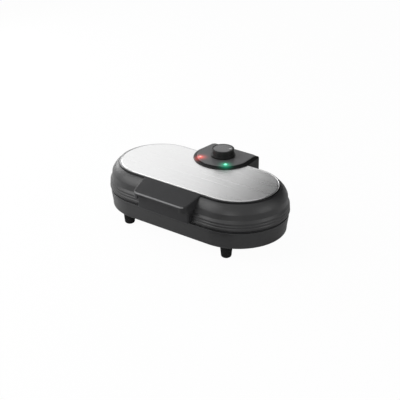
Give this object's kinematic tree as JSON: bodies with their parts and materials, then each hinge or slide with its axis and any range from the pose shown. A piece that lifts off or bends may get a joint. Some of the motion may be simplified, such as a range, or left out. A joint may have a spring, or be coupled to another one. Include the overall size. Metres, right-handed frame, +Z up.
{
  "type": "pancake maker",
  "caption": "Electric pancake maker: an oblong hinged lid with a steel top, front handle and rear knob console over round non-stick moulds, on short feet.",
  "frame": {"origin": "on the table under the middle of the body: the bottom centre of the bounding box", "axes": "+X along the body's length, to the right seen from the handle; +Y from the handle to the hinge; +Z up"},
  "size_m": [0.3878, 0.252, 0.1395],
  "materials": {
    "black_plastic": "fine satin grain",
    "grey_plastic": "satin",
    "brushed_steel": "brushed lengthways",
    "plain_steel": "plain",
    "non_stick_coating": "non-stick coated cast aluminium",
    "rubber": "matte",
    "ceramic": "glazed ceramic",
    "red_lens": "clear red, lit",
    "green_lens": "clear green, lit"
  },
  "bodies": {
    "base": {"base_shell": "black_plastic", "bottom_cover": "plain_steel", "lower_cooking_plate": "non_stick_coating", "lower_element": "plain_steel", "lower_element_bead_left": "ceramic", "lower_element_bead_right": "ceramic", "lower_reflector": "plain_steel", "base_tie_screw_front": "plain_steel", "base_tie_screw_back": "plain_steel", "base_reflector_screw_front": "plain_steel", "base_reflector_screw_back": "plain_steel", "foot_front_left": "black_plastic", "foot_front_right": "black_plastic", "foot_back_left": "black_plastic", "foot_back_right": "black_plastic", "foot_pad_front_left": "rubber", "foot_pad_front_right": "rubber", "foot_pad_back_left": "rubber", "foot_pad_back_right": "rubber", "hinge_bracket_left": "black_plastic", "hinge_bracket_right": "black_plastic", "hinge_pin_left": "plain_steel", "hinge_pin_right": "plain_steel", "cord_gland": "rubber", "terminal_block": "ceramic"},
    "lid": {"lid_shell": "black_plastic", "top_plate": "brushed_steel", "handle_hood": "black_plastic", "handle_panel": "black_plastic", "handle_screw_left": "plain_steel", "handle_screw_right": "plain_steel", "control_console": "black_plastic", "console_cap": "grey_plastic", "power_lamp_lens": "red_lens", "ready_lamp_lens": "green_lens", "power_lamp_body": "ceramic", "ready_lamp_body": "ceramic", "thermostat_body": "ceramic", "upper_cooking_plate": "non_stick_coating", "upper_element": "plain_steel", "upper_element_bead_left": "ceramic", "upper_element_bead_right": "ceramic", "upper_reflector": "plain_steel", "lid_tie_screw_front": "plain_steel", "lid_tie_screw_back": "plain_steel", "lid_reflector_screw_front": "plain_steel", "lid_reflector_screw_back": "plain_steel", "thermal_fuse": "plain_steel", "fuse_clip": "plain_steel", "lid_hinge_arm_left": "black_plastic", "lid_hinge_arm_right": "black_plastic"},
    "knob": {"temperature_knob": "black_plastic", "knob_disc": "grey_plastic", "thermostat_shaft": "plain_steel"}
  },
  "joints": [
    {"name": "lid_hinge", "type": "hinge", "parent": "base", "child": "lid", "pos_m": [0, 0.112, 0.0642], "axis": [-1, 0, 0], "range_deg": [0, 105]},
    {"name": "knob_turn", "type": "hinge", "parent": "lid", "child": "knob", "pos_m": [0, 0.0808, 0.1236], "axis": [0, 0, 1], "range_deg": [0, 270]}
  ]
}
